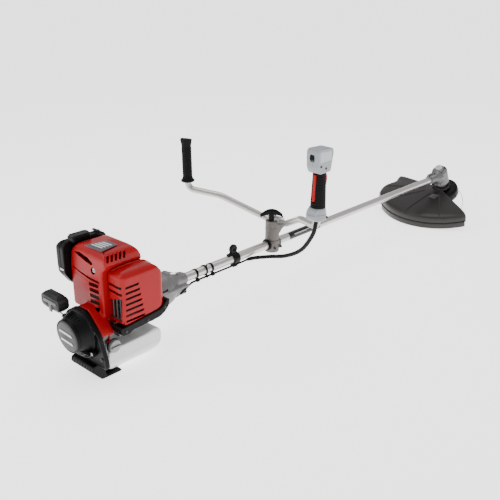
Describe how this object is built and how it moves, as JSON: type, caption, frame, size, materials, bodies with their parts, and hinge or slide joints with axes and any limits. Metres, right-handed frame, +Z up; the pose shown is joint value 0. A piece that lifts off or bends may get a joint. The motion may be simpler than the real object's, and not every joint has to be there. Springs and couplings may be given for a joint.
{
  "type": "brush cutter",
  "caption": "Brush cutter with a four-stroke engine, straight drive tube, bull-horn handlebar, guard and nylon line head.",
  "frame": {"origin": "middle of the machine's footprint, on the floor", "axes": "+X forward along the drive tube to the cutting head, +Y to the operator's left, +Z up"},
  "size_m": [1.94, 0.5587, 0.5297],
  "materials": {
    "cast_metal": "satin",
    "steel": "satin",
    "red_shell": "gloss",
    "black_plastic": "matte",
    "tank_plastic": "satin",
    "grey_plastic": "satin",
    "tube_metal": "satin",
    "rubber": "matte",
    "red_plastic": "satin",
    "guard_plastic": "satin",
    "brass": "satin",
    "iron": "matte",
    "felt": "matte",
    "nylon": "satin",
    "orange_plastic": "satin",
    "grey_cast": "matte"
  },
  "bodies": {
    "frame": {"crankcase": "cast_metal", "cylinder": "cast_metal", "rocker_cover": "iron", "fan_case": "black_plastic", "recoil_cover": "black_plastic", "starter_rope": "nylon", "ignition_coil": "black_plastic", "spark_plug": "steel", "plug_cap": "rubber", "top_cover": "red_shell", "muffler_cover": "red_shell", "muffler": "iron", "heat_tray": "black_plastic", "carburetor": "cast_metal", "air_cleaner_case": "black_plastic", "filter_element": "felt", "fuel_tank": "tank_plastic", "base_foot": "black_plastic", "clutch_housing": "cast_metal", "bearings": "steel", "frame_screws": "black_plastic", "main_tube": "tube_metal", "shaft_bushes": "rubber", "hanger": "black_plastic", "cable_clips": "black_plastic", "clamp_column": "grey_cast", "throttle_cable": "rubber", "gear_case": "cast_metal", "guard": "guard_plastic", "guard_flap": "guard_plastic"},
    "crank": {"crankshaft": "steel", "flywheel": "steel", "clutch_shoes": "brass"},
    "piston": {"piston": "cast_metal", "connecting_rod": "steel"},
    "pull": {"starter_handle": "black_plastic"},
    "reel": {"starter_reel": "black_plastic"},
    "trigger": {"throttle_trigger": "red_plastic"},
    "throttle_arm": {"throttle_lever": "brass"},
    "lock": {"lock_lever": "red_plastic"},
    "switch": {"stop_switch": "black_plastic"},
    "knob": {"wing_knob": "black_plastic"},
    "swivel": {"swivel_head": "grey_cast", "bar_cap": "tube_metal", "cap_screws": "steel", "handlebar": "tube_metal", "left_grip": "rubber", "throttle_housing": "grey_plastic"},
    "head": {"output_shaft": "steel", "head_body": "black_plastic", "cutting_line": "nylon"},
    "bump": {"bump_knob": "black_plastic", "line_spool": "orange_plastic"},
    "drive": {"drive_shaft": "steel", "pinion": "steel"},
    "drum": {"clutch_drum": "iron"},
    "cap": {"fuel_cap": "grey_plastic"},
    "choke": {"choke_lever": "black_plastic"},
    "primer": {"primer_bulb": "grey_plastic"},
    "cleaner_door": {"air_cleaner_cover": "black_plastic"}
  },
  "joints": [
    {"name": "crank_spin", "type": "hinge", "parent": "frame", "child": "crank", "pos_m": [-0.80999, 0.003, 0.14104], "axis": [0.9963, 0, 0.0854], "continuous": true},
    {"name": "piston_stroke", "type": "slide", "parent": "frame", "child": "piston", "axis": [-0.0854, 0, 0.9963], "range_m": [-0.028, 0]},
    {"name": "starter_pull", "type": "slide", "parent": "frame", "child": "pull", "axis": [-0.2996, 0.0999, 0.9488], "range_m": [0, 0.5], "stiffness_N_per_m": 12, "springref_m": -0.4, "deforming": ["starter_rope"]},
    {"name": "reel_spin", "type": "hinge", "parent": "frame", "child": "reel", "pos_m": [-0.9425, 0.003, 0.12968], "axis": [0.9963, 0, 0.0854], "range_deg": [0, 1025]},
    {"name": "throttle_trigger_pull", "type": "hinge", "parent": "swivel", "child": "trigger", "pos_m": [-0.31458, -0.25385, 0.45634], "axis": [-0.0001, 0.9999, 0.0125], "range_deg": [0, 14], "stiffness_Nm_per_rad": 0.2, "springref_deg": -17.19},
    {"name": "throttle_arm_turn", "type": "hinge", "parent": "frame", "child": "throttle_arm", "pos_m": [-0.7988, 0.059, 0.262], "axis": [0, 0, 1], "range_deg": [0, 60.5]},
    {"name": "lock_lever_squeeze", "type": "hinge", "parent": "swivel", "child": "lock", "pos_m": [-0.35357, -0.25385, 0.45561], "axis": [0.0001, -0.9999, -0.0125], "range_deg": [0, 4], "stiffness_Nm_per_rad": 0.2, "springref_deg": -11.46},
    {"name": "stop_switch_slide", "type": "slide", "parent": "swivel", "child": "switch", "axis": [-0.0187, -0.0125, 0.9997], "range_m": [-0.0035, 0.0035]},
    {"name": "wing_knob_turn", "type": "hinge", "parent": "swivel", "child": "knob", "pos_m": [-0.2228, 0.003, 0.236], "axis": [0, 0, 1], "continuous": true},
    {"name": "handlebar_swivel", "type": "hinge", "parent": "frame", "child": "swivel", "pos_m": [-0.2168, 0.003, 0.174], "axis": [0, 0, 1], "range_deg": [-90, 0], "deforming": ["throttle_cable"]},
    {"name": "head_spin", "type": "hinge", "parent": "frame", "child": "head", "pos_m": [0.8642, 0.003, 0.16], "axis": [0.5, 0, -0.866], "continuous": true},
    {"name": "bump_knob_press", "type": "slide", "parent": "head", "child": "bump", "axis": [-0.5, 0, 0.866], "range_m": [0, 0.0035], "stiffness_N_per_m": 800, "springref_m": -0.005},
    {"name": "drive_shaft_spin", "type": "hinge", "parent": "frame", "child": "drive", "pos_m": [0.8642, 0.003, 0.16], "axis": [1, 0, 0], "continuous": true},
    {"name": "drum_spin", "type": "hinge", "parent": "frame", "child": "drum", "pos_m": [-0.68844, 0.003, 0.15146], "axis": [0.9963, 0, 0.0854], "continuous": true},
    {"name": "fuel_cap_turn", "type": "hinge", "parent": "frame", "child": "cap", "pos_m": [-0.8768, -0.053, 0.086], "axis": [0, -1, 0], "range_deg": [0, 360]},
    {"name": "choke_turn", "type": "hinge", "parent": "frame", "child": "choke", "pos_m": [-0.8008, 0.091, 0.332], "axis": [0, 0, 1], "range_deg": [0, 60]},
    {"name": "primer_press", "type": "slide", "parent": "frame", "child": "primer", "axis": [0, -1, 0], "range_m": [0, 0.006], "stiffness_N_per_m": 400, "springref_m": -0.004},
    {"name": "air_cleaner_cover_slide", "type": "slide", "parent": "frame", "child": "cleaner_door", "axis": [0, 1, 0], "range_m": [0, 0.06]}
  ],
  "couplings": [
    {"joint": "reel_spin", "follows": "starter_pull", "rad_per_m": 35.714},
    {"joint": "throttle_arm_turn", "follows": "throttle_trigger_pull", "ratio": 4.3},
    {"joint": "drive_shaft_spin", "follows": "head_spin", "ratio": 1.3571},
    {"joint": "drum_spin", "follows": "head_spin", "ratio": 1.3571}
  ]
}
